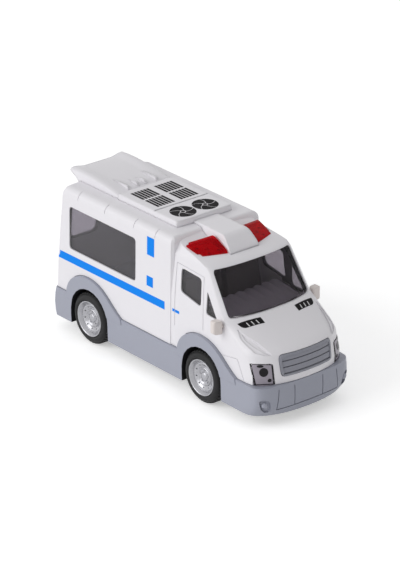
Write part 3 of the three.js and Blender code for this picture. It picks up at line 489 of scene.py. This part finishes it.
# Door mirrors: small cream blocks with soft corners, moulded in one with a round peg.
# The peg is pressed through the door, and the flat back faces the driver.
cream = plastic("cream_satin_plastic", (0.76, 0.695, 0.67), 0.4, mottle=0.02, edge=0.0008)
for name in ("mirror_right", "mirror_left"):
    moulding(name, name + "_shell", [cream], "body", sharp=40)

# Roof pod with the raised spine between the beacons, and the spoiler behind it: white, with softer edges.
# Both are clipped on the roof; the spoiler is a dished wing with rounded ears and four ribs.
soft_white = plastic("soft_white_plastic", (0.80, 0.785, 0.82), 0.36, mottle=0.015, edge=0.0022)
moulding("roof_pod", "pod_and_spine", [soft_white], "body", sharp=28)
moulding("rear_spoiler", "ribbed_spoiler", [soft_white], "body", sharp=28)

# Beacons: hollow domes of transparent red plastic, polished outside, clipped on the cab roof.
# Each stands over a small clear lamp that comes up through the roof and over three dark boss ends.
red_clear = clear_plastic("transparent_red", (0.68, 0.004, 0.014), 0.02, 0.74, 1.12)
for name in ("beacon_right", "beacon_left"):
    moulding(name, name + "_dome", [red_clear], "body", sharp=28)
finish_nodes(clear_plastic("lamp_clear", (0.85, 0.8, 0.8), 0.05, 0.6, 1.45), "led_right", "led_left")
wall = surface("body_shell")
down = (0, 0, -1)
BOSS_R, OVER_ROOF = 1.1, 110
for i, (x, y) in enumerate(((38.0, -24.0), (38.0, -16.0), (29.0, -27.5))):
    boss = spot_disc((x, y, OVER_ROOF), down, BOSS_R)
    sticker("beacon_boss_%d" % (i + 1), boss, wall, down, gloss_black)

# Printed stickers on the sides: a blue band under the window, two blue rectangles, a short dash on the door.
# Thin film with a faint gloss, pressed flat on the moulding.
blue_film = plastic("blue_film", (0.008, 0.25, 0.9), 0.5, mottle=0.05, grain=0.000005, shine=0.06)
inward = (0, 1, 0)


BESIDE = -45


def side_patch(x0, x1, z0, z1, across):
    return patch([(x0, BESIDE, z0), (x1, BESIDE, z0), (x1, BESIDE, z1), (x0, BESIDE, z1)], across, 4)


BAND_REAR, BAND_FRONT = -109.0, 9.4
band = patch([(BAND_REAR, BESIDE, 54.4), (BAND_FRONT, BESIDE, 55.0),
              (BAND_FRONT, BESIDE, 61.0), (BAND_REAR, BESIDE, 60.2)], 60, 4)
sticker("side_band", band, wall, inward, blue_film)
sticker("upper_rectangle", side_patch(-10.0, -2.3, 89.7, 103.3, 4), wall, inward, blue_film)
sticker("lower_rectangle", side_patch(-10.3, -3.4, 66.6, 74.1, 4), wall, inward, blue_film)
sticker("door_dash", side_patch(17.2, 24.6, 56.8, 58.9, 30), wall, inward, blue_film)

# Printed bonnet vents: black film with three white slashes, one on each side below the windscreen.
# The film lies flat on the bonnet; its outer front corner is cut round.
film_black = plastic("black_film", (0.012, 0.011, 0.012), 0.55, mottle=0.1, grain=0.000005, shine=0.06)
film_white = plastic("white_film", (0.74, 0.74, 0.75), 0.45, mottle=0.02, grain=0.000005, shine=0.2)
VENT_X, VENT_Y, VENT_LONG, VENT_SLANT, VENT_DEEP, VENT_ROUND = 77.9, -32.9, 17.8, 3.0, 4.8, 0.24
SLASH_LONG, SLASH_WIDE, SLASH_SLANT, OVER_BONNET = 3.1, 0.75, 0.45, 80
vent = patch([(0, 0, 0), (1, 0, 0), (1, 1, 0), (0, 1, 0)], 20, 5)
for v in vent.verts:
    along, depth = v.co.x, v.co.y
    full = math.sqrt(max(0.0, 1 - max(0.0, 1 - (along + 0.004) / VENT_ROUND) ** 2))
    v.co = Vector((VENT_X + VENT_SLANT * along + VENT_DEEP * depth * full, VENT_Y + VENT_LONG * along, OVER_BONNET))
sticker("bonnet_vent", vent, wall, down, film_black)
for i, (x, y) in enumerate(((80.3, -27.5), (80.85, -23.8), (81.4, -20.0))):
    front, leant = x + SLASH_LONG, y + SLASH_SLANT
    slash = patch([(x, y, OVER_BONNET), (x, y + SLASH_WIDE, OVER_BONNET),
                   (front, leant + SLASH_WIDE, OVER_BONNET), (front, leant, OVER_BONNET)], 2, 3)
    sticker("vent_slash_%d" % (i + 1), slash, wall, down, film_white, lift=0.00012)

# Printed pod top: black film on the flat roof of the pod, in four grids and two round fans.
# Each grid is six bars; each fan has a hub and five swept blades with thin gaps, both turning the same way.
pod = surface("roof_pod")
BARS, BAR, GRID_Y, GRID_W, OVER_POD = 6, 0.75, 10.5, 16.2, 130
for i, (x0, x1) in enumerate(((-54.3, -40.2), (-38.3, -24.1))):
    grid = bmesh.new()
    for k in range(BARS):
        mid = -GRID_Y + GRID_W * ((k + 0.5) / BARS - 0.5)
        for v in bmesh.ops.create_grid(grid, x_segments=6, y_segments=1, size=0.5)["verts"]:
            v.co = Vector((x0 + (v.co.x + 0.5) * (x1 - x0), mid + v.co.y * BAR * GRID_W / BARS, OVER_POD))
    sticker("pod_grid_%d" % (i + 1), grid, pod, down, film_black)
FAN_X, FAN_Y, FAN_R, HUB_R, GAP, SWEEP, BLADES, FAN_TURN = -7.1, 9.9, 9.35, 2.1, 0.5, 0.75, 5, 0.87
for name, y in (("pod_fan_right", -FAN_Y), ("pod_fan_left", FAN_Y)):
    fan = bmesh.new()
    for i in range(BLADES):
        for v in bmesh.ops.create_grid(fan, x_segments=8, y_segments=8, size=0.5)["verts"]:
            r = HUB_R + (v.co.y + 0.5) * (FAN_R - HUB_R)
            share = 2 * math.pi / BLADES
            a = FAN_TURN + share * (i + 0.5) + v.co.x * (share - GAP / r) + SWEEP * r / FAN_R
            v.co = Vector((FAN_X + r * math.cos(a), y + r * math.sin(a), OVER_POD))
    centre = Matrix.Translation((FAN_X, y, OVER_POD))
    bmesh.ops.create_circle(fan, cap_ends=True, segments=20, radius=HUB_R - 0.6, matrix=centre)
    sticker(name, fan, pod, down, film_black, twins=False)
